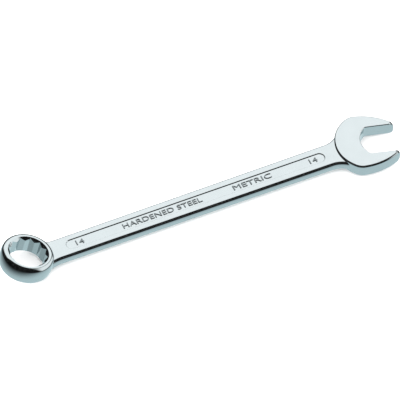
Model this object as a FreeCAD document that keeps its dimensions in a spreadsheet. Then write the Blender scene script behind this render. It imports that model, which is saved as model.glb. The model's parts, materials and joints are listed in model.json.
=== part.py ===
import FreeCAD, Part
import math
import os
import Sketcher
from FreeCAD import Placement, Rotation, Vector

# A combination wrench for 14 mm nuts: one steel forging with a ring at one end, open jaws at the
# other and a shank with a sunk panel between them. The forging is divided across the shank into
# solids that meet face to face, and the raised marks in the panel are solids of their own.
#
# Sketches use the forging's own axes: x = 0 at the ring's centre, y = 0 on the shank's centre
# line and z = 0 at the shank's middle plane. Each placement then moves the origin to the middle
# of the wrench's length, on the surface that it lies on.

sizes = {
    # nut and spanner openings
    "socket_flats": 14.1,
    "jaw_opening": 14.1,
    "offset_angle": 15.0,
    "jaw_angle": 15.0,
    # ring end
    "ring_lift": 2.8,
    "ring_height": 8.2,
    "ring_bore_blank": 6.0,
    "rim_radius": 10.5,
    "crown_radius": 13.3,
    "rim_rounding": 1.7,
    "lead_in_radius": 8.5,
    "lead_in_depth": 1.0,
    "ring_flare": 17.0,
    "ring_neck_radius": 9.7,
    # shank
    "shank_start": 16.4,
    "shank_stop": 134.6,
    "shank_thickness": 4.1,
    "shank_width_at_ring": 10.7,
    "shank_width_at_jaws": 11.6,
    "shank_rounding": 1.05,
    "panel_start": 17.6,
    "panel_stop": 133.9,
    "panel_width": 4.9,
    "panel_depth": 0.35,
    "panel_slope": 0.2,
    # open end
    "head_x": 155.4,
    "head_y": -0.75,
    "head_thickness": 5.8,
    "head_back_radius": 15.8,
    "shoulder_radius": 6.0,
    "flank_radius": 25.35,
    "flank_back": 6.3,
    "flank_across": 11.3,
    "nose_reach": 10.4,
    "head_rounding": 0.7,
    "head_flare": 9.5,
    "throat_radius": 9.6,
    "throat_reach": 5.0,
    "throat_rounding": 1.5,
    "jaw_chamfer": 0.3,
    # raised marks in the panel
    "mark_height": 0.32,
    "digit_height": 2.4,
    "digit_pitch": 1.9,
    "digit_stroke": 0.42,
    "size_mark_near_ring": 23.6,
    "size_mark_near_jaws": 128.7,
    "long_word_start": 42.8,
    "long_word_length": 35.3,
    "short_word_start": 92.3,
    "short_word_length": 17.2,
    "word_height": 2.4,
    # the row's origin on the wrench
    "middle_of_length": 78.48,
}


def rest_lift():
    """Height of the shank's middle plane when the ring's lowest rim touches the surface."""
    tilt = math.radians(sizes["offset_angle"])
    half_height = sizes["ring_height"] / 2
    rounding = sizes["rim_rounding"]
    crown_centre = sizes["rim_radius"] - math.sqrt(sizes["crown_radius"] ** 2 - half_height ** 2)
    rounding_height = half_height - rounding
    rounding_radius = crown_centre + math.sqrt(
        (sizes["crown_radius"] - rounding) ** 2 - rounding_height ** 2)
    reach = rounding_height * math.cos(tilt) + rounding_radius * math.sin(tilt) + rounding
    return reach - sizes["ring_lift"]


def make_sheet(doc):
    sheet = doc.addObject("Spreadsheet::Sheet", "sizes")
    sizes["rest_lift"] = rest_lift()
    for row, (alias, value) in enumerate(sizes.items(), start=1):
        sheet.set("A%d" % row, alias)
        sheet.set("B%d" % row, repr(value))
        sheet.setAlias("B%d" % row, alias)
    doc.recompute()
    return sheet


# ---- sketches -------------------------------------------------------------------------------

def point(x, y):
    return Vector(x, y, 0)


def origin_part(body, role):
    return next(item for item in body.Origin.OriginFeatures if item.Role == role)


def new_sketch(body, name, role="XY_Plane", offset=None):
    sketch = body.newObject("Sketcher::SketchObject", name)
    sketch.AttachmentSupport = [(origin_part(body, role), "")]
    sketch.MapMode = "FlatFace"
    if offset is not None:
        sketch.AttachmentOffset = offset
    return sketch


def add_line(sketch, start, end):
    return sketch.addGeometry(Part.LineSegment(point(*start), point(*end)), False)


def add_arc(sketch, centre, radius, first_angle, last_angle):
    circle = Part.Circle(point(*centre), Vector(0, 0, 1), radius)
    return sketch.addGeometry(Part.ArcOfCircle(circle, first_angle, last_angle), False)


def rule(sketch, kind, *references):
    return sketch.addConstraint(Sketcher.Constraint(kind, *references))


def dimension(sketch, kind, references, value, expression):
    index = rule(sketch, kind, *references, value)
    sketch.setExpression("Constraints[%d]" % index, expression)


def join_corners(sketch, count):
    for index in range(count):
        rule(sketch, "Coincident", index, 2, (index + 1) % count, 1)


def circle_meeting(first, first_radius, second, second_radius, side):
    """Point at the two given distances from two centres, on the chosen side of their line."""
    across = (second[0] - first[0], second[1] - first[1])
    gap = math.hypot(*across)
    along = (first_radius ** 2 - second_radius ** 2 + gap ** 2) / (2 * gap)
    off = side * math.sqrt(first_radius ** 2 - along ** 2)
    return (first[0] + (along * across[0] - off * across[1]) / gap,
            first[1] + (along * across[1] + off * across[0]) / gap)


# ---- features -------------------------------------------------------------------------------

def new_body(doc, name):
    body = doc.addObject("PartDesign::Body", name)
    body.Label = name
    body.setExpression("Placement.Base.x", "-sizes.middle_of_length")
    body.setExpression("Placement.Base.z", "sizes.rest_lift")
    return body


def add_feature(body, kind, name, profile):
    feature = body.newObject("PartDesign::" + kind, name)
    feature.Profile = profile
    return feature


def pad_both_ways(body, name, sketch, length_name):
    pad = add_feature(body, "Pad", name, sketch)
    pad.SideType = "Symmetric"
    pad.setExpression("Length", "sizes." + length_name)
    body.Document.recompute()
    return pad


def cut_through(body, name, sketch):
    """Pocket both ways from the sketch, checked to have removed some steel."""
    before = body.Shape.Volume
    pocket = add_feature(body, "Pocket", name, sketch)
    pocket.SideType = "Symmetric"
    pocket.Type = "ThroughAll"
    body.Document.recompute()
    check_smaller(body, before, name)
    return pocket


def check_smaller(body, before, name):
    if not body.Shape.Volume < before - 0.1:
        raise RuntimeError(name + " removed nothing")


def edge_names(feature, wanted):
    names = []
    for index, edge in enumerate(feature.Shape.Edges, start=1):
        middle = edge.valueAt((edge.FirstParameter + edge.LastParameter) / 2)
        if wanted(edge, middle):
            names.append("Edge%d" % index)
    if not names:
        raise RuntimeError("no edge to dress on " + feature.Name)
    return names


def round_edges(body, name, feature, wanted, radius_name):
    fillet = body.newObject("PartDesign::Fillet", name)
    fillet.Base = (feature, edge_names(feature, wanted))
    fillet.setExpression("Radius", "sizes." + radius_name)
    body.Document.recompute()
    return fillet


def at_height(middle, thickness_name):
    return abs(abs(middle.z) - sizes[thickness_name] / 2) < 1e-4


# ---- necks: from the shank's section to a tangent meeting with a round head ------------------

def neck_sketch(body, name, neck):
    """Plan of a neck: two straight sides, each running on into a hollow flare.

    neck holds the names of its sizes and which way the head lies: +1 towards the jaws."""
    sketch = new_sketch(body, name)
    way = neck["way"]
    end_x = sizes[neck["end"]]
    width = sizes[neck["width"]]
    flare = sizes[neck["flare"]]
    centre = (neck["centre_x"], neck["centre_y"])
    radius = neck["radius"]
    end = add_line(sketch, (end_x, -width / 2), (end_x, width / 2))
    rule(sketch, "Symmetric", end, 1, end, 2, -1)
    dimension(sketch, "Distance", (end,), width, "sizes." + neck["width"])
    dimension(sketch, "DistanceX", (-1, 1, end, 1), end_x, "sizes." + neck["end"])
    inner_ends = []
    for side, end_point in ((-1, 1), (1, 2)):
        flare_y = side * (width / 2 + flare)
        reach = math.sqrt((radius + flare) ** 2 - (flare_y - centre[1]) ** 2)
        flare_x = centre[0] - way * reach
        towards_head = math.atan2(centre[1] - flare_y, centre[0] - flare_x)
        towards_shank = -side * math.pi / 2
        line_first = side * way > 0
        angles = [towards_shank, towards_head] if line_first else [towards_head, towards_shank]
        if angles[1] < angles[0]:
            angles[1] += 2 * math.pi
        straight = add_line(sketch, (end_x, side * width / 2), (flare_x, side * width / 2))
        hollow = add_arc(sketch, (flare_x, flare_y), flare, *angles)
        line_end, head_end = (1, 2) if line_first else (2, 1)
        rule(sketch, "Coincident", straight, 1, end, end_point)
        rule(sketch, "Horizontal", straight)
        rule(sketch, "Tangent", straight, 2, hollow, line_end)
        dimension(sketch, "Radius", (hollow,), flare, "sizes." + neck["flare"])
        inner_ends.append((hollow, head_end))
    (lower, lower_end), (upper, upper_end) = inner_ends
    corners = [sketch.getPoint(*item) for item in inner_ends]
    close = add_line(sketch, (corners[0].x, corners[0].y), (corners[1].x, corners[1].y))
    rule(sketch, "Coincident", close, 1, lower, lower_end)
    rule(sketch, "Coincident", close, 2, upper, upper_end)
    return sketch


def add_neck(body, neck):
    sketch = neck_sketch(body, "neck_plan", neck)
    pad = pad_both_ways(body, "neck", sketch, "shank_thickness")

    def along_side(edge, middle):
        return at_height(middle, "shank_thickness") and abs(middle.y) > sizes[neck["width"]] / 2.2

    return round_edges(body, "neck_rounding", pad, along_side, "shank_rounding")


# ---- ring end -------------------------------------------------------------------------------

def tilted_profile_plane():
    """In the XZ plane, turned so that the sketch's upright axis is the ring's leaning axis."""
    return Placement(point(0, sizes["ring_lift"]), Rotation(Vector(0, 0, 1), -sizes["offset_angle"]))


def bind_tilted_profile(sketch):
    sketch.setExpression("AttachmentOffset.Base.y", "sizes.ring_lift")
    sketch.setExpression("AttachmentOffset.Rotation.Angle", "-sizes.offset_angle")


def ring_profile(body):
    """Half section of the ring: flat rims, a plain inside and a crowned outside."""
    sketch = new_sketch(body, "ring_section", "XZ_Plane", tilted_profile_plane())
    inner = sizes["ring_bore_blank"]
    rim = sizes["rim_radius"]
    half = sizes["ring_height"] / 2
    crown = sizes["crown_radius"]
    crown_angle = math.asin(half / crown)
    crown_centre = (rim - crown * math.cos(crown_angle), 0)
    add_line(sketch, (rim, half), (inner, half))
    add_line(sketch, (inner, half), (inner, -half))
    add_line(sketch, (inner, -half), (rim, -half))
    outside = add_arc(sketch, crown_centre, crown, -crown_angle, crown_angle)
    join_corners(sketch, 4)
    rule(sketch, "Horizontal", 0)
    rule(sketch, "Horizontal", 2)
    rule(sketch, "Symmetric", 1, 1, 1, 2, -1)
    dimension(sketch, "DistanceX", (-1, 1, 1, 1), inner, "sizes.ring_bore_blank")
    dimension(sketch, "DistanceX", (-1, 1, 2, 2), rim, "sizes.rim_radius")
    dimension(sketch, "DistanceX", (-1, 1, 0, 1), rim, "sizes.rim_radius")
    dimension(sketch, "Distance", (1,), 2 * half, "sizes.ring_height")
    dimension(sketch, "Radius", (outside,), crown, "sizes.crown_radius")
    bind_tilted_profile(sketch)
    return sketch


def lead_in_profile(body):
    """The two triangles turned out of the socket's mouths as its lead-in chamfers."""
    sketch = new_sketch(body, "lead_in_section", "XZ_Plane", tilted_profile_plane())
    inner = sizes["ring_bore_blank"]
    outer = sizes["lead_in_radius"]
    half = sizes["ring_height"] / 2
    foot = half - sizes["lead_in_depth"]
    narrow = outer - sizes["lead_in_depth"]
    for side in (1, -1):
        corners = [(inner, side * half), (outer, side * half), (narrow, side * foot),
                   (inner, side * foot)]
        first = sketch.GeometryCount
        for index, corner in enumerate(corners):
            add_line(sketch, corner, corners[(index + 1) % 4])
        for index in range(4):
            rule(sketch, "Coincident", first + index, 2, first + (index + 1) % 4, 1)
        rule(sketch, "Horizontal", first)
        rule(sketch, "Horizontal", first + 2)
        rule(sketch, "Vertical", first + 3)
        dimension(sketch, "DistanceX", (-1, 1, first, 1), inner, "sizes.ring_bore_blank")
        dimension(sketch, "DistanceX", (-1, 1, first, 2), outer, "sizes.lead_in_radius")
        dimension(sketch, "DistanceX", (-1, 1, first + 1, 2), narrow,
                  "sizes.lead_in_radius - sizes.lead_in_depth")
        dimension(sketch, "Distance", (first + 3,), half - foot, "sizes.lead_in_depth")
        sign = "" if side > 0 else "-"
        dimension(sketch, "DistanceY", (-1, 1, first, 1), side * half,
                  sign + "sizes.ring_height / 2")
    bind_tilted_profile(sketch)
    return sketch


def hexagon_sketch(body):
    """One hexagon across the leaning socket; turned by half a side it gives the twelve points."""
    plane = Placement(Vector(0, 0, sizes["ring_lift"]),
                      Rotation(Vector(0, 1, 0), sizes["offset_angle"]))
    sketch = new_sketch(body, "hexagon", "XY_Plane", plane)
    corner_radius = sizes["socket_flats"] / math.sqrt(3)
    corners = []
    for index in range(6):
        angle = math.radians(60 * index)
        corners.append((corner_radius * math.cos(angle), corner_radius * math.sin(angle)))
    for index in range(6):
        add_line(sketch, corners[index], corners[(index + 1) % 6])
    join_corners(sketch, 6)
    guide = sketch.addGeometry(Part.Circle(point(0, 0), Vector(0, 0, 1), corner_radius), True)
    rule(sketch, "Coincident", guide, 3, -1, 1)
    for index in range(6):
        rule(sketch, "PointOnObject", index, 1, guide)
    for index in range(5):
        rule(sketch, "Equal", index, index + 1)
    rule(sketch, "PointOnObject", 0, 1, -1)
    dimension(sketch, "Radius", (guide,), corner_radius, "sizes.socket_flats / sqrt(3)")
    sketch.setExpression("AttachmentOffset.Base.z", "sizes.ring_lift")
    sketch.setExpression("AttachmentOffset.Rotation.Angle", "sizes.offset_angle")
    return sketch


def make_ring_head(doc):
    body = new_body(doc, "ring_head")
    # the ring's leaning axis crosses the shank's middle plane a little behind the ring's centre
    behind = sizes["ring_lift"] * math.tan(math.radians(sizes["offset_angle"]))
    add_neck(body, {"way": -1, "end": "shank_start", "width": "shank_width_at_ring",
                    "flare": "ring_flare", "centre_x": -behind, "centre_y": 0,
                    "radius": sizes["ring_neck_radius"]})
    profile = ring_profile(body)
    ring = add_feature(body, "Revolution", "ring", profile)
    ring.ReferenceAxis = (profile, ["V_Axis"])
    ring.Angle = 360
    doc.recompute()

    def on_rim(edge, middle):
        if not isinstance(edge.Curve, Part.Circle):
            return False
        return abs(edge.Curve.Radius - sizes["rim_radius"]) < 1e-4

    round_edges(body, "rim_rounding", ring, on_rim, "rim_rounding")
    hexagon = hexagon_sketch(body)
    socket = cut_through(body, "socket", hexagon)
    before = body.Shape.Volume
    points = body.newObject("PartDesign::PolarPattern", "twelve_points")
    points.Originals = [socket]
    points.Axis = (hexagon, ["N_Axis"])
    points.Mode = "Extent"
    points.Angle = 30
    points.Occurrences = 2
    body.Tip = points
    doc.recompute()
    check_smaller(body, before, "twelve_points")
    before = body.Shape.Volume
    lead_in_section = lead_in_profile(body)
    lead_in = add_feature(body, "Groove", "lead_in", lead_in_section)
    lead_in.ReferenceAxis = (lead_in_section, ["V_Axis"])
    lead_in.Angle = 360
    doc.recompute()
    check_smaller(body, before, "lead_in")
    return body


# ---- shank ----------------------------------------------------------------------------------

def shank_sketch(body):
    """Plan of the shank, slightly wider towards the jaws."""
    sketch = new_sketch(body, "shank_plan")
    start, stop = sizes["shank_start"], sizes["shank_stop"]
    slim, wide = sizes["shank_width_at_ring"], sizes["shank_width_at_jaws"]
    add_line(sketch, (start, slim / 2), (start, -slim / 2))
    add_line(sketch, (start, -slim / 2), (stop, -wide / 2))
    add_line(sketch, (stop, -wide / 2), (stop, wide / 2))
    add_line(sketch, (stop, wide / 2), (start, slim / 2))
    join_corners(sketch, 4)
    rule(sketch, "Symmetric", 0, 1, 0, 2, -1)
    rule(sketch, "Symmetric", 2, 1, 2, 2, -1)
    dimension(sketch, "Distance", (0,), slim, "sizes.shank_width_at_ring")
    dimension(sketch, "Distance", (2,), wide, "sizes.shank_width_at_jaws")
    dimension(sketch, "DistanceX", (-1, 1, 0, 1), start, "sizes.shank_start")
    dimension(sketch, "DistanceX", (-1, 1, 2, 1), stop, "sizes.shank_stop")
    return sketch


def panel_sketch(body):
    """Long round-ended panel on the shank's upper face."""
    plane = Placement(Vector(0, 0, sizes["shank_thickness"] / 2), Rotation())
    sketch = new_sketch(body, "panel_plan", "XY_Plane", plane)
    half = sizes["panel_width"] / 2
    first = sizes["panel_start"] + half
    last = sizes["panel_stop"] - half
    add_line(sketch, (first, -half), (last, -half))
    add_arc(sketch, (last, 0), half, -math.pi / 2, math.pi / 2)
    add_line(sketch, (last, half), (first, half))
    add_arc(sketch, (first, 0), half, math.pi / 2, 3 * math.pi / 2)
    for index in range(4):
        rule(sketch, "Tangent", index, 2, (index + 1) % 4, 1)
    rule(sketch, "Horizontal", 0)
    rule(sketch, "PointOnObject", 1, 3, -1)
    dimension(sketch, "Radius", (1,), half, "sizes.panel_width / 2")
    dimension(sketch, "DistanceX", (-1, 1, 3, 3), first, "sizes.panel_start + sizes.panel_width / 2")
    dimension(sketch, "DistanceX", (-1, 1, 1, 3), last, "sizes.panel_stop - sizes.panel_width / 2")
    sketch.setExpression("AttachmentOffset.Base.z", "sizes.shank_thickness / 2")
    return sketch


def make_shank(doc):
    body = new_body(doc, "shank")
    bar = pad_both_ways(body, "bar", shank_sketch(body), "shank_thickness")

    def along_side(edge, middle):
        return at_height(middle, "shank_thickness") and abs(middle.y) > sizes["panel_width"]

    round_edges(body, "bar_rounding", bar, along_side, "shank_rounding")
    before = body.Shape.Volume
    panel = add_feature(body, "Pocket", "upper_panel", panel_sketch(body))
    panel.setExpression("Length", "sizes.panel_depth")
    doc.recompute()
    check_smaller(body, before, "upper_panel")
    before = body.Shape.Volume
    other_panel = body.newObject("PartDesign::Mirrored", "lower_panel")
    other_panel.Originals = [panel]
    other_panel.MirrorPlane = (origin_part(body, "XY_Plane"), [""])
    body.Tip = other_panel
    doc.recompute()
    check_smaller(body, before, "lower_panel")

    def panel_rim(edge, middle):
        return at_height(middle, "shank_thickness") and abs(middle.y) < sizes["panel_width"] / 1.9

    def not_an_end(edge, middle):
        inside = sizes["shank_start"] + 1 < middle.x < sizes["shank_stop"] - 1
        return inside and panel_rim(edge, middle)

    slope = body.newObject("PartDesign::Chamfer", "panel_slope")
    slope.Base = (other_panel, edge_names(other_panel, not_an_end))
    slope.setExpression("Size", "sizes.panel_slope")
    doc.recompute()
    return body


# ---- open end -------------------------------------------------------------------------------

def jaw_plane():
    """Flat on the middle plane at the head's centre, turned along the jaws."""
    return Placement(Vector(sizes["head_x"], sizes["head_y"], 0),
                     Rotation(Vector(0, 0, 1), -sizes["jaw_angle"]))


def bind_jaw_plane(sketch):
    sketch.setExpression("AttachmentOffset.Base.x", "sizes.head_x")
    sketch.setExpression("AttachmentOffset.Base.y", "sizes.head_y")
    sketch.setExpression("AttachmentOffset.Rotation.Angle", "-sizes.jaw_angle")


def head_sketch(body):
    """Plan of the head along its jaws: round back, small shoulders and long flanks."""
    sketch = new_sketch(body, "head_plan", "XY_Plane", jaw_plane())
    back = sizes["head_back_radius"]
    small = sizes["shoulder_radius"]
    flank = sizes["flank_radius"]
    nose = sizes["nose_reach"]
    flank_centre = (-sizes["flank_back"], -sizes["flank_across"])
    shoulder_centre = circle_meeting((0, 0), back - small, flank_centre, flank - small, -1)
    back_angle = math.atan2(shoulder_centre[1], shoulder_centre[0])
    flank_start = math.atan2(shoulder_centre[1] - flank_centre[1],
                             shoulder_centre[0] - flank_centre[0])
    flank_end = math.acos((nose - flank_centre[0]) / flank)
    tip = flank_centre[1] + flank * math.sin(flank_end)
    upside_down = (flank_centre[0], -flank_centre[1])
    lower_shoulder = (shoulder_centre[0], -shoulder_centre[1])
    add_line(sketch, (nose, -tip), (nose, tip))
    add_arc(sketch, flank_centre, flank, flank_end, flank_start)
    add_arc(sketch, shoulder_centre, small, flank_start, back_angle)
    add_arc(sketch, (0, 0), back, back_angle, 2 * math.pi - back_angle)
    add_arc(sketch, lower_shoulder, small, -back_angle, -flank_start)
    add_arc(sketch, upside_down, flank, -flank_start, -flank_end)
    rule(sketch, "Coincident", 0, 2, 1, 1)
    for index in range(1, 5):
        rule(sketch, "Tangent", index, 2, index + 1, 1)
    rule(sketch, "Coincident", 5, 2, 0, 1)
    rule(sketch, "Vertical", 0)
    rule(sketch, "Coincident", 3, 3, -1, 1)
    rule(sketch, "Symmetric", 1, 3, 5, 3, -1)
    dimension(sketch, "DistanceX", (-1, 1, 0, 1), nose, "sizes.nose_reach")
    dimension(sketch, "DistanceX", (1, 3, -1, 1), -flank_centre[0], "sizes.flank_back")
    dimension(sketch, "DistanceY", (1, 3, -1, 1), -flank_centre[1], "sizes.flank_across")
    dimension(sketch, "Radius", (1,), flank, "sizes.flank_radius")
    dimension(sketch, "Radius", (2,), small, "sizes.shoulder_radius")
    dimension(sketch, "Radius", (3,), back, "sizes.head_back_radius")
    dimension(sketch, "Radius", (4,), small, "sizes.shoulder_radius")
    dimension(sketch, "Radius", (5,), flank, "sizes.flank_radius")
    bind_jaw_plane(sketch)
    return sketch


def gap_sketch(body):
    """Plan of the space between the jaws, with a hollow throat behind it."""
    sketch = new_sketch(body, "gap_plan", "XY_Plane", jaw_plane())
    half = sizes["jaw_opening"] / 2
    throat = sizes["throat_radius"]
    throat_centre = throat - sizes["throat_reach"]
    corner_angle = math.pi - math.asin(half / throat)
    corner = throat_centre + throat * math.cos(corner_angle)
    mouth = 1.5 * sizes["nose_reach"]
    add_line(sketch, (corner, -half), (mouth, -half))
    add_line(sketch, (mouth, -half), (mouth, half))
    add_line(sketch, (mouth, half), (corner, half))
    add_arc(sketch, (throat_centre, 0), throat, corner_angle, 2 * math.pi - corner_angle)
    join_corners(sketch, 4)
    rule(sketch, "Horizontal", 0)
    rule(sketch, "Horizontal", 2)
    rule(sketch, "Symmetric", 1, 1, 1, 2, -1)
    rule(sketch, "PointOnObject", 3, 3, -1)
    dimension(sketch, "Distance", (1,), 2 * half, "sizes.jaw_opening")
    dimension(sketch, "DistanceX", (-1, 1, 1, 1), mouth, "1.5 * sizes.nose_reach")
    dimension(sketch, "Radius", (3,), throat, "sizes.throat_radius")
    dimension(sketch, "DistanceX", (-1, 1, 3, 3), throat_centre,
              "sizes.throat_radius - sizes.throat_reach")
    bind_jaw_plane(sketch)
    return sketch


def along_jaws(place):
    """Distances of a place along and across the jaws from the head's centre."""
    turn = math.radians(sizes["jaw_angle"])
    x = place.x - sizes["head_x"]
    y = place.y - sizes["head_y"]
    return (x * math.cos(turn) - y * math.sin(turn), x * math.sin(turn) + y * math.cos(turn))


def make_open_end_head(doc):
    body = new_body(doc, "open_end_head")
    add_neck(body, {"way": 1, "end": "shank_stop", "width": "shank_width_at_jaws",
                    "flare": "head_flare", "centre_x": sizes["head_x"],
                    "centre_y": sizes["head_y"], "radius": sizes["head_back_radius"]})
    head = pad_both_ways(body, "head", head_sketch(body), "head_thickness")

    def head_outline(edge, middle):
        return at_height(middle, "head_thickness")

    round_edges(body, "head_rounding", head, head_outline, "head_rounding")
    gap = cut_through(body, "gap", gap_sketch(body))

    def throat_corner(edge, middle):
        along, across = along_jaws(middle)
        upright = abs(edge.tangentAt(edge.FirstParameter).z) > 0.99
        return upright and along < 0 and abs(abs(across) - sizes["jaw_opening"] / 2) < 1e-3

    corners = round_edges(body, "throat_rounding", gap, throat_corner, "throat_rounding")

    def gap_rim(edge, middle):
        along, across = along_jaws(middle)
        inside = abs(across) < sizes["jaw_opening"] / 2 + 1e-3
        return inside and -sizes["throat_reach"] - 1e-3 < along and at_height(middle, "head_thickness")

    chamfer = body.newObject("PartDesign::Chamfer", "jaw_chamfer")
    chamfer.Base = (corners, edge_names(corners, gap_rim))
    chamfer.setExpression("Size", "sizes.jaw_chamfer")
    doc.recompute()
    return body


# ---- raised marks ---------------------------------------------------------------------------

def bar_between(start, end, stroke):
    """A straight raised stroke from one place to another, as a flat face."""
    run = math.hypot(end[0] - start[0], end[1] - start[1])
    along = ((end[0] - start[0]) / run, (end[1] - start[1]) / run)
    half = stroke / 2
    corners = []
    for place, reach, side in ((start, -half, -half), (end, half, -half), (end, half, half),
                               (start, -half, half)):
        corners.append(point(place[0] + along[0] * reach - along[1] * side,
                             place[1] + along[1] * reach + along[0] * side))
    return Part.Face(Part.makePolygon(corners + corners[:1]))


def digit_one():
    top = sizes["digit_height"] / 2
    flag = 0.22 * sizes["digit_height"]
    return [((0, -top), (0, top)), ((0, top), (-flag, top - flag))]


def digit_four():
    top = sizes["digit_height"] / 2
    bar = -0.25 * sizes["digit_height"]
    foot = 0.3 * sizes["digit_height"]
    return [((foot / 2, -top), (foot / 2, top)), ((foot / 2, top), (-1.5 * foot, bar)),
            ((-1.5 * foot, bar), (1.1 * foot, bar))]


def raised_digit(strokes, middle_x, upside_down):
    """One digit standing on the panel's floor, on the upper or the lower face."""
    raised = []
    for start, end in strokes:
        face = bar_between(start, end, sizes["digit_stroke"])
        raised.append(face.extrude(Vector(0, 0, sizes["mark_height"])))
    solid = raised[0].multiFuse(raised[1:]).removeSplitter()
    floor = sizes["shank_thickness"] / 2 - sizes["panel_depth"]
    solid.translate(Vector(middle_x, 0, floor))
    if upside_down:
        solid.rotate(Vector(middle_x, 0, 0), Vector(1, 0, 0), 180)
    return solid


def make_size_marks(doc):
    """The size number, 14, at both ends of both panels."""
    digits = []
    for middle in (sizes["size_mark_near_ring"], sizes["size_mark_near_jaws"]):
        for upside_down in (False, True):
            half_pitch = sizes["digit_pitch"] / 2
            digits.append(raised_digit(digit_one(), middle - half_pitch, upside_down))
            digits.append(raised_digit(digit_four(), middle + half_pitch, upside_down))
    marks = doc.addObject("Part::Feature", "size_marks")
    marks.Label = "size_marks"
    marks.Shape = Part.makeCompound(digits)
    marks.Placement = Placement(Vector(-sizes["middle_of_length"], 0, sizes["rest_lift"]), Rotation())
    return marks


def make_word_marks(doc):
    """Two plain raised bars where the upper panel carries its wording."""
    bars = []
    for word in ("long_word", "short_word"):
        bar = doc.addObject("Part::Box", word + "_bar")
        bar.setExpression("Length", "sizes.%s_length" % word)
        bar.setExpression("Width", "sizes.word_height")
        bar.setExpression("Height", "sizes.mark_height")
        bar.setExpression("Placement.Base.x", "sizes.%s_start" % word)
        bar.setExpression("Placement.Base.y", "-sizes.word_height / 2")
        bar.setExpression("Placement.Base.z", "sizes.shank_thickness / 2 - sizes.panel_depth")
        bars.append(bar)
    marks = doc.addObject("Part::MultiFuse", "word_marks")
    marks.Label = "word_marks"
    marks.Shapes = bars
    marks.setExpression("Placement.Base.x", "-sizes.middle_of_length")
    marks.setExpression("Placement.Base.z", "sizes.rest_lift")
    doc.recompute()
    return marks


# ---- the wrench -----------------------------------------------------------------------------

def check_document(doc, nodes):
    for item in doc.Objects:
        if "Invalid" in item.State or "Error" in item.State:
            raise RuntimeError("%s is %s" % (item.Label, item.State))
    for node in nodes:
        if node.Shape.isNull() or not node.Shape.isValid():
            raise RuntimeError(node.Label + " has no valid shape")


def main():
    doc = FreeCAD.newDocument("combination_wrench")
    make_sheet(doc)
    nodes = [make_ring_head(doc), make_shank(doc), make_open_end_head(doc), make_size_marks(doc),
             make_word_marks(doc)]
    doc.recompute()
    check_document(doc, nodes)
    os.makedirs("parts", exist_ok=True)
    for node in nodes:
        node.Shape.exportStep("parts/%s.step" % node.Label)
        box = node.Shape.BoundBox
        print(node.Label, "volume %.1f" % node.Shape.Volume, "solids", len(node.Shape.Solids),
              "x %.2f %.2f y %.2f %.2f z %.2f %.2f" % (box.XMin, box.XMax, box.YMin, box.YMax,
                                                       box.ZMin, box.ZMax))


main()
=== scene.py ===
import json
import math

import bmesh
import bpy
from mathutils import Matrix, Vector


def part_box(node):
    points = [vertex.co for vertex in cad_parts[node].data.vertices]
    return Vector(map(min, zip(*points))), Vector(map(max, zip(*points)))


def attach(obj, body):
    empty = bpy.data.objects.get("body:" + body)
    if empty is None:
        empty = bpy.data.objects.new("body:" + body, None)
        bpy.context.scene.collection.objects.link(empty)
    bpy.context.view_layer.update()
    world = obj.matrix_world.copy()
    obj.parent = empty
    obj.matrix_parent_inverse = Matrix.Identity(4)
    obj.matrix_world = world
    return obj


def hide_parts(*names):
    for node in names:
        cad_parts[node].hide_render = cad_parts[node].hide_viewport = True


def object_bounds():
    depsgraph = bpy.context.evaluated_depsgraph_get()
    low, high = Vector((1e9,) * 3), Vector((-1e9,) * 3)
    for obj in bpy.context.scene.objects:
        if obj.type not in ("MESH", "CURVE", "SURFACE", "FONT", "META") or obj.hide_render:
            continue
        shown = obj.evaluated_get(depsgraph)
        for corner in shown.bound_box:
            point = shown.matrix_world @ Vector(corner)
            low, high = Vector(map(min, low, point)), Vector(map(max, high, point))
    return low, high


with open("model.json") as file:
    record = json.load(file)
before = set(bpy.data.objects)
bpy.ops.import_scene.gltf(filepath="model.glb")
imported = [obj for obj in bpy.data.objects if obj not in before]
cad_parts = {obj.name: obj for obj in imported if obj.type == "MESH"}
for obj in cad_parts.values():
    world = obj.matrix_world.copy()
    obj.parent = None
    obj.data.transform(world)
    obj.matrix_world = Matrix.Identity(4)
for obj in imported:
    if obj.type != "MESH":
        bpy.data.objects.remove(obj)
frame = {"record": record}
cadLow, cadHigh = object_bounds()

mm = 0.001
hair = 0.001 * mm  # points nearer than this are one point
slack = 0.01 * mm  # how far from its place an edge or point may be and still be picked
print("frame loaded, wrench is %.1f mm long" % ((cadHigh.x - cadLow.x) / mm))


# working with one piece at a time

def deselectAll():
    active = bpy.context.view_layer.objects.active
    if active is not None and active.mode != "OBJECT":
        bpy.ops.object.mode_set(mode="OBJECT")
    bpy.ops.object.select_all(action="DESELECT")


def takeUp(piece):
    deselectAll()
    piece.select_set(True)
    bpy.context.view_layer.objects.active = piece


def settle(piece):
    takeUp(piece)  # its place goes into its mesh
    bpy.ops.object.transform_apply(location=True, rotation=True, scale=True)


def editPick(piece, kind, wanted):
    # opens edit mode with only the wanted vertices, edges or faces selected
    takeUp(piece)
    bpy.ops.object.mode_set(mode="EDIT")
    bpy.ops.mesh.select_mode(type=kind)
    bpy.ops.mesh.select_all(action="DESELECT")
    mesh = bmesh.from_edit_mesh(piece.data)
    mesh.normal_update()
    items = {"VERT": mesh.verts, "EDGE": mesh.edges, "FACE": mesh.faces}[kind]
    count = 0
    for item in items:
        if wanted(item):
            item.select_set(True)
            count += 1
    bmesh.update_edit_mesh(piece.data)
    return count


def middle(item):
    return sum((v.co for v in item.verts), Vector()) / len(item.verts)


def closeEdit():
    bpy.ops.object.mode_set(mode="OBJECT")


def moveTo(piece, place):
    piece.location = place
    settle(piece)


def applyLast(piece):
    takeUp(piece)
    bpy.ops.object.modifier_apply(modifier=piece.modifiers[-1].name)


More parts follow.
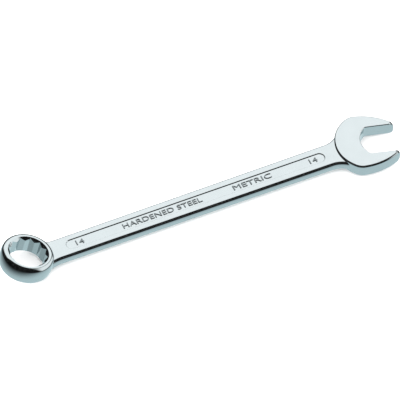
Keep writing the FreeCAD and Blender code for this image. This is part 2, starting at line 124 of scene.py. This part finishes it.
def combine(piece, tool, how):
    # how is DIFFERENCE or UNION; the tool is used up
    step = piece.modifiers.new("combine", "BOOLEAN")
    step.operation = how
    step.solver = "EXACT"
    step.object = tool
    applyLast(piece)
    bpy.data.objects.remove(tool)
    editPick(piece, "VERT", lambda v: True)
    bpy.ops.mesh.remove_doubles(threshold=hair)
    bpy.ops.mesh.dissolve_degenerate(threshold=hair)
    closeEdit()


def addCylinder(name, centre, radius, depth, vertices):
    deselectAll()
    bpy.ops.mesh.primitive_cylinder_add(vertices=vertices, radius=radius, depth=depth,
                                        location=centre)
    piece = bpy.context.object
    piece.name = name
    settle(piece)
    return piece


def addBlock(name, low, high):
    deselectAll()
    centre = (Vector(low) + Vector(high)) / 2
    bpy.ops.mesh.primitive_cube_add(size=1, location=centre, scale=Vector(high) - Vector(low))
    piece = bpy.context.object
    piece.name = name
    settle(piece)
    return piece


def liesLevel(edge):
    return abs(edge.verts[0].co.z - edge.verts[1].co.z) < slack


def turn(piece, angle, axis, centre=(0, 0, 0)):
    centre = Vector(centre)
    place = Matrix.Translation(centre) @ Matrix.Rotation(angle, 4, axis)
    piece.matrix_world = place @ Matrix.Translation(-centre) @ piece.matrix_world
    settle(piece)


shadeSet = {"crispAngle": 32, "faceWeight": 90}


def softShade(piece):
    # smooth over curves, crisp at real edges, and flat faces keep flat reflections
    takeUp(piece)
    bpy.ops.object.shade_smooth_by_angle(angle=math.radians(shadeSet["crispAngle"]))
    weigh = piece.modifiers.new("weigh", "WEIGHTED_NORMAL")
    weigh.keep_sharp = True
    weigh.weight = shadeSet["faceWeight"]
    applyLast(piece)


# places read from the frame

mounts = {mount["name"]: mount for mount in frame["record"]["mounts"]}
shankLow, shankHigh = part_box("shank")
ringCentre = Vector(mounts["ring_socket"]["pos_m"])
ringAxis = Vector(mounts["ring_socket"]["axis"]).normalized()
ringLean = math.atan2(ringAxis.x, ringAxis.z)
jawAxis = Vector(mounts["jaw_gap"]["axis"]).normalized()
jawTurn = math.atan2(jawAxis.y, jawAxis.x)
midHeight = (shankLow.z + shankHigh.z) / 2
shankThickness = shankHigh.z - shankLow.z
headLow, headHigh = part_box("open_end_head")
headThickness = headHigh.z - headLow.z


# neck: a block with a hollow flare on each side, rounded along its sides

neckSet = {
    "sideRounding": 1.05 * mm,
    "roundingSteps": 9,
    "flareFaces": 240,
    "ridge": 0.14 * mm,
    "insideHead": 0.3 * mm,
}


def addNeck(seam, way, width, flare, headCentre, headRadius):
    # straight sides from the seam, then a hollow flare on each side that just meets the round head
    halfWidth = width / 2
    run = abs(headCentre.x - seam)
    reach = run
    out = headRadius * 1.05
    low, high = midHeight - shankThickness / 2, midHeight + shankThickness / 2
    neck = addBlock("neck", (min(seam, headCentre.x), -out, low),
                    (max(seam, headCentre.x), out, high))
    for side in (-1, 1):
        flareY = side * (halfWidth + flare)
        across = math.sqrt((headRadius + flare) ** 2 - (flareY - headCentre.y) ** 2)
        flareX = headCentre.x - way * across
        reach = min(reach, run - across * headRadius / (headRadius + flare))
        hollow = addCylinder("hollow", (flareX, flareY, midHeight), flare, 2 * shankThickness,
                             neckSet["flareFaces"])
        beside = addBlock("beside", (min(flareX, seam - way * mm), side * halfWidth, 0),
                          (max(flareX, seam - way * mm), side * 2 * out, 2 * high))
        combine(hollow, beside, "UNION")
        combine(neck, hollow, "DIFFERENCE")

    def alongSide(edge):
        atFace = abs(abs(middle(edge).z - midHeight) - shankThickness / 2) < slack
        lengthwise = abs(edge.verts[0].co.x - edge.verts[1].co.x) > slack
        outside = abs(middle(edge).y) > halfWidth * 0.95
        return liesLevel(edge) and atFace and lengthwise and outside

    editPick(neck, "EDGE", alongSide)
    roundSides()
    bpy.ops.mesh.select_all(action="SELECT")
    bpy.ops.mesh.bisect(plane_co=(seam + way * reach, 0, 0), plane_no=(way, 0, 0),
                        use_fill=True, clear_outer=True)
    closeEdit()
    bulgeSides(neck)
    return neck


def roundSides():
    # rounds the picked edges; necks and shank share one section, so that they meet without a step
    bpy.ops.mesh.bevel(offset=neckSet["sideRounding"], segments=neckSet["roundingSteps"],
                       profile=0.5, affect="EDGES", clamp_overlap=False)


def bulgeSides(piece):
    # the dies leave a soft ridge along the middle of each side
    takeUp(piece)
    bpy.ops.object.mode_set(mode="EDIT")
    bpy.ops.mesh.select_all(action="SELECT")
    bpy.ops.mesh.bisect(plane_co=(0, 0, midHeight), plane_no=(0, 0, 1))
    closeEdit()
    for side in (-1, 1):
        picked = editPick(piece, "VERT", lambda v: abs(v.co.z - midHeight) < hair
                          and v.co.y * side > shankThickness)
        if picked:
            bpy.ops.transform.translate(value=(0, side * neckSet["ridge"], 0))
        closeEdit()


# ring end

ringSet = {
    "rimRadius": 10.5 * mm,
    "crownRadius": 13.3 * mm,
    "height": 8.2 * mm,
    "rimRounding": 1.7 * mm,
    "faces": 180,
    "crownSteps": 7,
    "rimSteps": 10,
    "acrossFlats": 14.1 * mm,
    "leadInRadius": 8.55 * mm,
    "leadInDepth": 1.0 * mm,
    "flare": 17 * mm,
    "neckMeets": 9.7 * mm,
    "barrelReach": 11.2 * mm,
    "coneOver": 2 * mm,
}


def ringLevels():
    # radius and height of each level of the barrel's outside, from the lower rim to the upper
    half = ringSet["height"] / 2
    crown = ringSet["crownRadius"]
    rounding = ringSet["rimRounding"]
    crownCentre = ringSet["rimRadius"] - math.sqrt(crown ** 2 - half ** 2)
    roundHeight = half - rounding
    roundCentre = crownCentre + math.sqrt((crown - rounding) ** 2 - roundHeight ** 2)
    meets = math.atan2(roundHeight, roundCentre - crownCentre)
    upper = []
    for step in range(ringSet["crownSteps"] + 1):
        angle = meets * step / ringSet["crownSteps"]
        upper.append((crownCentre + crown * math.cos(angle), crown * math.sin(angle)))
    for step in range(1, ringSet["rimSteps"] + 1):
        angle = meets + (math.pi / 2 - meets) * step / ringSet["rimSteps"]
        upper.append((roundCentre + rounding * math.cos(angle),
                      roundHeight + rounding * math.sin(angle)))
    return [(radius, -height) for radius, height in reversed(upper[1:])] + upper


def makeRing():
    levels = ringLevels()
    deselectAll()
    bpy.ops.mesh.primitive_circle_add(vertices=ringSet["faces"], radius=levels[0][0],
                                      fill_type="NGON", location=(0, 0, levels[0][1]))
    ring = bpy.context.object
    ring.name = "ringEnd"
    settle(ring)
    editPick(ring, "FACE", lambda f: True)
    for (radius, low), (wider, high) in zip(levels, levels[1:]):
        bpy.ops.mesh.extrude_region_move(TRANSFORM_OT_translate={"value": (0, 0, high - low)})
        bpy.ops.transform.resize(value=(wider / radius, wider / radius, 1))
    bpy.ops.mesh.select_all(action="SELECT")
    bpy.ops.mesh.normals_make_consistent(inside=False)
    closeEdit()
    turn(ring, ringLean, "Y")
    moveTo(ring, ringCentre)
    # the leaning axis crosses the shank's middle plane here
    levelCentre = ringCentre - ringAxis * ((ringCentre.z - midHeight) / ringAxis.z)
    combine(ring, addNeck(shankLow.x, -1, shankSet["widthAtRing"], ringSet["flare"],
                          levelCentre, ringSet["neckMeets"]), "UNION")
    combine(ring, addSocket(), "DIFFERENCE")
    return ring


def addSocket():
    # two hexagonal bars make the twelve points, two cones the lead-ins at the mouths
    corner = ringSet["acrossFlats"] / math.sqrt(3)
    height = ringSet["height"]
    socket = addCylinder("socket", (0, 0, 0), corner, 3 * height, 6)
    other = addCylinder("otherHexagon", (0, 0, 0), corner, 3 * height, 6)
    turn(other, math.radians(30), "Z")
    combine(socket, other, "UNION")
    # each cone slopes at 45 degrees, from past the rim down to twice the lead-in's depth
    over = ringSet["coneOver"]
    depth = over + 2 * ringSet["leadInDepth"]
    wide = ringSet["leadInRadius"] + over
    for side in (-1, 1):
        radii = (wide - depth, wide) if side > 0 else (wide, wide - depth)
        centre = side * (height / 2 + over - depth / 2)
        deselectAll()
        bpy.ops.mesh.primitive_cone_add(vertices=ringSet["faces"], radius1=radii[0],
                                        radius2=radii[1], depth=depth, location=(0, 0, centre))
        cone = bpy.context.object
        settle(cone)
        combine(socket, cone, "UNION")
    turn(socket, ringLean, "Y")
    moveTo(socket, ringCentre)
    return socket


# shank

shankSet = {
    "widthAtRing": 10.7 * mm,
    "widthAtJaws": 11.6 * mm,
    "panelFrom": 1.2 * mm,
    "panelShort": 0.7 * mm,
    "panelWidth": 4.9 * mm,
    "panelDepth": 0.35 * mm,
    "panelSlope": 0.2 * mm,
    "rimSoftness": 0.08 * mm,
    "rimSteps": 3,
    "endFaces": 96,
    "toolOver": 1 * mm,
}


def makeShank():
    narrow, wide = shankSet["widthAtRing"], shankSet["widthAtJaws"]
    shank = addBlock("shankBar", (shankLow.x, -narrow / 2, shankLow.z),
                     (shankHigh.x, narrow / 2, shankHigh.z))
    editPick(shank, "VERT", lambda v: v.co.x > shankHigh.x - slack)
    bpy.ops.transform.resize(value=(1, wide / narrow, 1))
    closeEdit()
    length = shankHigh.x - shankLow.x
    editPick(shank, "EDGE", lambda e: abs(e.verts[0].co.x - e.verts[1].co.x) > length / 2)
    roundSides()
    closeEdit()
    bulgeSides(shank)
    for side in (-1, 1):
        combine(shank, addPanelTool(side), "DIFFERENCE")
    softenPanels(shank)
    return shank


def addPanelTool(side):
    # a shallow cone stretched lengthwise: round ends and sloping walls
    over = shankSet["toolOver"]
    depth = shankSet["panelDepth"]
    slope = shankSet["panelSlope"] / depth
    rimRadius = shankSet["panelWidth"] / 2
    first = shankLow.x + shankSet["panelFrom"] + rimRadius
    last = shankHigh.x - shankSet["panelShort"] - rimRadius
    deselectAll()
    bpy.ops.mesh.primitive_cone_add(vertices=shankSet["endFaces"],
                                    radius1=rimRadius - slope * depth,
                                    radius2=rimRadius + slope * over, depth=depth + over,
                                    location=(0, 0, (shankThickness - depth + over) / 2))
    tool = bpy.context.object
    settle(tool)
    editPick(tool, "VERT", lambda v: v.co.x > 0)
    bpy.ops.transform.translate(value=(last - first, 0, 0))
    closeEdit()
    if side < 0:
        turn(tool, math.pi, "X")
    moveTo(tool, (first, 0, midHeight))
    return tool


def softenPanels(shank):
    def panelEdge(edge):
        inside = all(shankLow.x + 0.5 * mm < v.co.x < shankHigh.x - 0.3 * mm for v in edge.verts)
        within = abs(middle(edge).y) < shankSet["panelWidth"] / 2 + 0.05 * mm
        return inside and within and liesLevel(edge)

    editPick(shank, "EDGE", panelEdge)
    bpy.ops.mesh.bevel(offset=shankSet["rimSoftness"], segments=shankSet["rimSteps"],
                       profile=0.5, affect="EDGES", clamp_overlap=False)
    closeEdit()


# open end

headSet = {
    "backRadius": 15.8 * mm,
    "shoulder": 6.0 * mm,
    "flankRadius": 25.35 * mm,
    "flankBack": 6.3 * mm,
    "flankAcross": 11.3 * mm,
    "tipRadius": 0.5 * mm,
    "gap": 14.1 * mm,
    "throatRadius": 9.6 * mm,
    "throatReach": 5.0 * mm,
    "throatRounding": 1.5 * mm,
    "rearRounding": 0.75 * mm,
    "tipRounding": 0.36 * mm,
    "tipsFrom": 9 * mm,
    "roundingSteps": 5,
    "jawChamfer": 0.28 * mm,
    "noseReach": 10.4 * mm,
    "noseRounding": 2.4 * mm,
    "noseFaces": 64,
    "flare": 9.5 * mm,
    "stepLength": 0.7 * mm,
    "jawCentreToBack": 3.0 * mm,
}


def meet(first, firstReach, second, secondReach, side):
    # where two circles cross, on the wanted side of the line between them
    across = second - first
    along = (across.length ** 2 + firstReach ** 2 - secondReach ** 2) / (2 * across.length)
    out = math.sqrt(firstReach ** 2 - along ** 2)
    unit = across.normalized()
    return first + unit * along + Vector((-unit.y, unit.x, 0)) * out * side


def heading(fromPoint, toPoint):
    return math.atan2(toPoint.y - fromPoint.y, toPoint.x - fromPoint.x)


def drawArc(centre, radius, fromAngle, toAngle):
    # carries the outline's last point round a centre
    steps = max(3, round(abs(toAngle - fromAngle) * radius / headSet["stepLength"]))
    bpy.ops.mesh.spin(steps=steps, angle=toAngle - fromAngle, center=centre, axis=(0, 0, -1))


def drawHeadOutline():
    # half of the plan, from the middle of the back round to the middle of the throat
    half = headSet["gap"] / 2
    back = Vector((0, 0, 0))
    backRadius, shoulder = headSet["backRadius"], headSet["shoulder"]
    flank = Vector((-headSet["flankBack"], -headSet["flankAcross"], 0))
    flankRadius, tip = headSet["flankRadius"], headSet["tipRadius"]
    shoulderCentre = meet(back, backRadius - shoulder, flank, flankRadius - shoulder, -1)
    rise = half + tip - flank.y
    tipCentre = flank + Vector((math.sqrt((flankRadius - tip) ** 2 - rise ** 2), rise, 0))
    throat = Vector((headSet["throatRadius"] - headSet["throatReach"], 0, 0))
    corner = headSet["throatRounding"]
    fall = half - corner
    cornerCentre = throat + Vector((-math.sqrt((headSet["throatRadius"] - corner) ** 2 - fall ** 2),
                                    fall, 0))
    deselectAll()
    bpy.ops.mesh.primitive_plane_add(size=mm, location=(0, 0, 0))
    outline = bpy.context.object
    outline.name = "openHead"
    bpy.ops.object.mode_set(mode="EDIT")
    bpy.ops.mesh.select_mode(type="VERT")
    bpy.ops.mesh.select_all(action="SELECT")
    bpy.ops.mesh.merge(type="CENTER")
    bpy.ops.transform.translate(value=(-backRadius, 0, 0))
    shoulderStart, shoulderEnd = heading(back, shoulderCentre), heading(flank, shoulderCentre)
    tipStart = heading(flank, tipCentre)
    drawArc(back, backRadius, math.pi, shoulderStart)
    drawArc(shoulderCentre, shoulder, shoulderStart, shoulderEnd)
    drawArc(flank, flankRadius, shoulderEnd, tipStart)
    drawArc(tipCentre, tip, tipStart, -math.pi / 2)
    bpy.ops.mesh.extrude_vertices_move(
        TRANSFORM_OT_translate={"value": (cornerCentre.x - tipCentre.x, 0, 0)})
    drawArc(cornerCentre, corner, math.pi / 2, heading(throat, cornerCentre))
    drawArc(throat, headSet["throatRadius"], heading(throat, cornerCentre), math.pi)
    closeEdit()
    return outline


def makeHead():
    head = drawHeadOutline()
    takeUp(head)
    bpy.ops.object.mode_set(mode="EDIT")
    bpy.ops.mesh.select_all(action="SELECT")
    bpy.ops.mesh.remove_doubles(threshold=slack)
    bpy.ops.mesh.duplicate()
    bpy.ops.transform.resize(value=(1, -1, 1), center_override=(0, 0, 0))
    bpy.ops.mesh.select_all(action="SELECT")
    bpy.ops.mesh.remove_doubles(threshold=slack)
    bpy.ops.mesh.edge_face_add()
    bpy.ops.transform.translate(value=(0, 0, -headThickness / 2))
    bpy.ops.mesh.extrude_region_move(TRANSFORM_OT_translate={"value": (0, 0, headThickness)})
    bpy.ops.mesh.select_all(action="SELECT")
    bpy.ops.mesh.normals_make_consistent(inside=False)
    closeEdit()
    roundOutline(head)
    combine(head, addNoseTool(), "DIFFERENCE")
    turn(head, jawTurn, "Z")
    centre = Vector(mounts["jaw_gap"]["pos_m"]) - headSet["jawCentreToBack"] * jawAxis
    centre.z = (headLow.z + headHigh.z) / 2
    moveTo(head, centre)
    combine(head, addNeck(shankHigh.x, 1, shankSet["widthAtJaws"], headSet["flare"], centre,
                          headSet["backRadius"] - neckSet["insideHead"]), "UNION")
    return head


def addNoseTool():
    # what is taken off beyond the jaw tips, so that they end in a half round
    rounding = headSet["noseRounding"]
    reach = headSet["noseReach"]
    wide = headSet["backRadius"]
    flat = headThickness / 2 - rounding
    tool = addBlock("noseTool", (reach - rounding, -wide, -headThickness),
                    (reach + rounding, wide, headThickness))
    bar = addBlock("bar", (reach - 2 * rounding, -2 * wide, -flat), (reach, 2 * wide, flat))
    combine(tool, bar, "DIFFERENCE")
    for side in (-1, 1):
        deselectAll()
        bpy.ops.mesh.primitive_cylinder_add(vertices=headSet["noseFaces"], radius=rounding,
                                            depth=4 * wide,
                                            location=(reach - rounding, 0, side * flat),
                                            rotation=(math.pi / 2, 0, 0))
        rod = bpy.context.object
        settle(rod)
        combine(tool, rod, "DIFFERENCE")
    return tool


def roundOutline(head):
    # rounded along the outside, a small chamfer along the inside of the jaws
    half = headSet["gap"] / 2
    wide = headSet["rearRounding"]
    takeUp(head)
    bpy.ops.object.mode_set(mode="EDIT")
    mesh = bmesh.from_edit_mesh(head.data)
    weight = mesh.edges.layers.float.get("bevel_weight_edge")
    if weight is None:
        weight = mesh.edges.layers.float.new("bevel_weight_edge")
    for edge in mesh.edges:
        place = middle(edge)
        if abs(place.z) < headThickness / 2 - slack:
            continue
        size = wide
        if abs(place.y) < half + slack and place.x > -headSet["throatReach"] - 0.2 * mm:
            size = headSet["jawChamfer"]
        elif place.x > headSet["tipsFrom"]:
            size = headSet["tipRounding"]
        edge[weight] = size / wide
    bmesh.update_edit_mesh(head.data)
    closeEdit()
    soften = head.modifiers.new("soften", "BEVEL")
    soften.width = wide
    soften.segments = headSet["roundingSteps"]
    soften.limit_method = "WEIGHT"
    soften.use_clamp_overlap = False
    applyLast(head)


# raised marks

# each mark: what it says, where it starts from the ring's centre, and its length
markSet = {
    "height": 0.34 * mm,
    "slopedEdge": 0.09 * mm,
    "capHeight": 2.4 * mm,
    "curveSteps": 6,
    "sizes": (("14", 21.9 * mm, 3.5 * mm), ("14", 126.9 * mm, 3.5 * mm)),
    "words": (("HARDENED STEEL", 42.8 * mm, 35.3 * mm), ("METRIC", 92.3 * mm, 17.2 * mm)),
}


def addMark(mark, upsideDown):
    says, start, length = mark
    deselectAll()
    bpy.ops.object.text_add(location=(0, 0, 0))
    text = bpy.context.object
    text.data.body = says
    text.data.resolution_u = markSet["curveSteps"]
    bpy.context.view_layer.update()
    bpy.ops.object.convert(target="MESH")
    text = bpy.context.object
    # stretched to its length and capital height, then stood on the panel's floor
    xs = [v.co.x for v in text.data.vertices]
    ys = [v.co.y for v in text.data.vertices]
    scaleX = length / (max(xs) - min(xs))
    scaleY = markSet["capHeight"] / (max(ys) - min(ys))
    text.scale = (scaleX, scaleY, 1)
    moveTo(text, (ringCentre.x + start - min(xs) * scaleX, -(max(ys) + min(ys)) / 2 * scaleY,
                  shankHigh.z - shankSet["panelDepth"]))
    editPick(text, "FACE", lambda f: True)
    edge = markSet["slopedEdge"]
    bpy.ops.mesh.extrude_region_move(
        TRANSFORM_OT_translate={"value": (0, 0, markSet["height"] - edge)})
    # a sloped edge round the top, as a die leaves it
    bpy.ops.mesh.inset(thickness=edge, depth=edge, use_boundary=True, use_even_offset=False)
    bpy.ops.mesh.select_all(action="SELECT")
    bpy.ops.mesh.normals_make_consistent(inside=False)
    closeEdit()
    if upsideDown:
        turn(text, math.pi, "X", (0, 0, midHeight))
    return text


def joinPieces(name, pieces):
    deselectAll()
    for piece in pieces:
        piece.select_set(True)
    bpy.context.view_layer.objects.active = pieces[0]
    bpy.ops.object.join()
    pieces[0].name = name
    return pieces[0]


def makeMarks():
    # the sizes are on both faces of the shank, the words only on the upper one
    sizes = [addMark(mark, below) for mark in markSet["sizes"] for below in (False, True)]
    words = [addMark(mark, False) for mark in markSet["words"]]
    return joinPieces("sizeMarks", sizes), joinPieces("wordMarks", words)


ring = makeRing()
print("ring end", len(ring.data.polygons), "faces")
shank = makeShank()
print("shank", len(shank.data.polygons), "faces")
head = makeHead()
print("open end", len(head.data.polygons), "faces")
sizeMarks, wordMarks = makeMarks()
print("marks", len(sizeMarks.data.polygons) + len(wordMarks.data.polygons), "faces")
for piece in (ring, shank, head, sizeMarks, wordMarks):
    softShade(piece)


# finishes

def linear(hexColour):
    parts = [int(hexColour[i:i + 2], 16) / 255 for i in (1, 3, 5)]
    return tuple(p / 12.92 if p <= 0.04045 else ((p + 0.055) / 1.055) ** 2.4 for p in parts) + (1,)


def addNode(tree, kind, settings=None, links=None):
    # settings are inputs by name or number, or the node's own properties
    node = tree.nodes.new(kind)
    for key, value in (settings or {}).items():
        if isinstance(key, int) or key in node.inputs:
            node.inputs[key].default_value = value
        else:
            setattr(node, key, value)
    for key, source in (links or {}).items():
        tree.links.new(source, node.inputs[key])
    return node


def makeChrome(name, finish):
    # chrome plate over forged steel: cool mirror-like metal, its polish varying a little
    material = bpy.data.materials.new(name)
    material.use_nodes = True
    tree = material.node_tree
    tree.nodes.clear()
    place = addNode(tree, "ShaderNodeTexCoord").outputs["Object"]
    cloud = addNode(tree, "ShaderNodeTexNoise", {"Scale": 1 / finish["cloudSize"], "Detail": 2.0},
                    {"Vector": place}).outputs["Fac"]
    least, most = finish["roughness"] * 0.75, finish["roughness"] * 1.25
    rough = addNode(tree, "ShaderNodeMapRange", {"To Min": least, "To Max": most},
                    {"Value": cloud}).outputs["Result"]
    tint = addNode(tree, "ShaderNodeMix", {"data_type": "RGBA", 6: linear(finish["colour"]),
                                           7: linear(finish["paler"])}, {0: cloud})
    grain = addNode(tree, "ShaderNodeTexNoise", {"Scale": 1 / finish["grainSize"], "Detail": 3.0},
                    {"Vector": place}).outputs["Fac"]
    bump = addNode(tree, "ShaderNodeBump",
                   {"Strength": finish["grain"], "Distance": finish["grainDepth"]},
                   {"Height": grain}).outputs["Normal"]
    surface = addNode(tree, "ShaderNodeBsdfPrincipled", {"Metallic": 1.0},
                      {"Base Color": tint.outputs[2], "Roughness": rough, "Normal": bump})
    addNode(tree, "ShaderNodeOutputMaterial", None, {"Surface": surface.outputs["BSDF"]})
    return material


# lightly brushed before plating: even, softly blurred mirror images
satin = makeChrome("satinChromePlate", {
    "colour": "#b9c1c3", "paler": "#c0c8ca", "roughness": 0.11, "cloudSize": 6 * mm,
    "grainSize": 0.35 * mm, "grain": 0.12, "grainDepth": 0.01 * mm})
# the buffed ring: sharper mirror images than the shank gives
bright = makeChrome("brightChromePlate", {
    "colour": "#b6c0c2", "paler": "#bec7c9", "roughness": 0.08, "cloudSize": 5 * mm,
    "grainSize": 0.6 * mm, "grain": 0.06, "grainDepth": 0.01 * mm})
# the marks are never buffed: a duller skin that spreads the light, and a darker colour that is painted
# shade, standing in for the dark look of the raised letters
dullAndPaintedShade = makeChrome("unbuffedChromeWithPaintedShade", {
    "colour": "#8d9598", "paler": "#979fa1", "roughness": 0.42, "cloudSize": 2 * mm,
    "grainSize": 0.2 * mm, "grain": 0.3, "grainDepth": 0.01 * mm})
# the marks take the rough finish whose darker colour is painted shade
for piece, finish in ((ring, satin), (shank, satin), (head, satin), (sizeMarks, dullAndPaintedShade),
                      (wordMarks, dullAndPaintedShade)):
    piece.data.materials.clear()
    piece.data.materials.append(finish)
ring.data.materials.append(bright)


def onBarrel(face):
    reach = face.calc_center_median() - ringCentre
    return (reach - reach.dot(ringAxis) * ringAxis).length < ringSet["barrelReach"]


editPick(ring, "FACE", onBarrel)
ring.active_material_index = 1
bpy.ops.object.material_slot_assign()
closeEdit()


# the new pieces hang on the root body, and the CAD parts they stand in for are hidden

for piece, node, slot in ((ring, "ring_head", "polished_chrome"), (shank, "shank", "satin_chrome"),
                          (head, "open_end_head", "satin_chrome_head"),
                          (sizeMarks, "size_marks", "raised_marks"),
                          (wordMarks, "word_marks", "raised_marks")):
    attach(piece, "root")
    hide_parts(node)


# studio: white paper under soft light, and a dark room with soft boxes for the metal to mirror

floorSet = {"size": 4.0, "below": 0.02 * mm, "colour": "#f4f4f4", "light": 2.4, "roughness": 0.9}

# each box glows towards the metal between directions: x is right, y away and z up, and along each
# it rises from nothing at the first value to full at the second
softBoxes = (
    {"x": (-0.35, -0.05), "y": (0.42, 0.5), "z": (0.15, 0.42), "power": 1.5, "colour": "#ffffff"},
    {"x": (0.5, 0.75), "y": (0.45, 0.25), "z": (-0.25, -0.05), "power": 1.4, "colour": "#ffffff"},
    {"z": (-0.1, -0.8), "power": 0.95, "colour": "#e6fbff"},
    {"power": 0.004, "colour": "#ffffff"},
)


def makeFloor():
    deselectAll()
    bpy.ops.mesh.primitive_plane_add(size=floorSet["size"], location=(0, 0, cadLow.z - floorSet["below"]))
    floor = bpy.context.object
    floor.name = "floor"
    material = bpy.data.materials.new("whitePaper")
    material.use_nodes = True
    surface = material.node_tree.nodes["Principled BSDF"]
    surface.inputs["Base Color"].default_value = linear(floorSet["colour"])
    surface.inputs["Roughness"].default_value = floorSet["roughness"]
    floor.data.materials.append(material)
    floor.visible_glossy = False  # the box that shines from below stands for it in the metal


def makeWorld():
    world = bpy.data.worlds.new("studio")
    world.use_nodes = True
    tree = world.node_tree
    tree.nodes.clear()
    toward = addNode(tree, "ShaderNodeTexCoord").outputs["Generated"]
    parts = addNode(tree, "ShaderNodeSeparateXYZ", None, {"Vector": toward}).outputs
    room = None
    for box in softBoxes:
        power = addNode(tree, "ShaderNodeValue").outputs[0]
        power.default_value = box["power"]
        for axis in ("x", "y", "z"):
            if axis in box:
                start, full = box[axis]
                fade = addNode(tree, "ShaderNodeMapRange",
                               {"interpolation_type": "SMOOTHSTEP", "From Min": start,
                                "From Max": full}, {"Value": parts[axis.upper()]})
                power = addNode(tree, "ShaderNodeMath", {"operation": "MULTIPLY"},
                                {0: power, 1: fade.outputs["Result"]}).outputs[0]
        glow = addNode(tree, "ShaderNodeBackground", {"Color": linear(box["colour"])},
                       {"Strength": power}).outputs[0]
        room = glow if room is None else addNode(tree, "ShaderNodeAddShader", None,
                                                 {0: room, 1: glow}).outputs[0]
    paper = addNode(tree, "ShaderNodeBackground",
                    {"Color": (1, 1, 1, 1), "Strength": floorSet["light"]}).outputs[0]
    mirrored = addNode(tree, "ShaderNodeLightPath").outputs["Is Glossy Ray"]
    both = addNode(tree, "ShaderNodeMixShader", None, {0: mirrored, 1: paper, 2: room}).outputs[0]
    addNode(tree, "ShaderNodeOutputWorld", None, {"Surface": both})
    bpy.context.scene.world = world


cameraSet = {
    "azimuth": -24.31,
    "elevation": 50.42,
    "distance": 2.0,
    "lens": 438,
    "sensor": 36,
    "aheadOfRing": 77.9 * mm,
    "beside": 1.2 * mm,
    "clip": (0.05, 20),
}


def makeCamera():
    azimuth = math.radians(cameraSet["azimuth"])
    elevation = math.radians(cameraSet["elevation"])
    target = Vector((ringCentre.x + cameraSet["aheadOfRing"], cameraSet["beside"], midHeight))
    back = Vector((math.sin(azimuth) * math.cos(elevation),
                   -math.cos(azimuth) * math.cos(elevation), math.sin(elevation)))
    camera = bpy.data.objects.new("camera", bpy.data.cameras.new("camera"))
    bpy.context.scene.collection.objects.link(camera)
    camera.location = target + back * cameraSet["distance"]
    camera.rotation_euler = (-back).to_track_quat("-Z", "Y").to_euler()
    camera.data.sensor_width = cameraSet["sensor"]
    camera.data.lens = cameraSet["lens"]
    camera.data.clip_start, camera.data.clip_end = cameraSet["clip"]
    bpy.context.scene.camera = camera


makeFloor()
makeWorld()
makeCamera()
bpy.context.scene.view_settings.view_transform = "Standard"
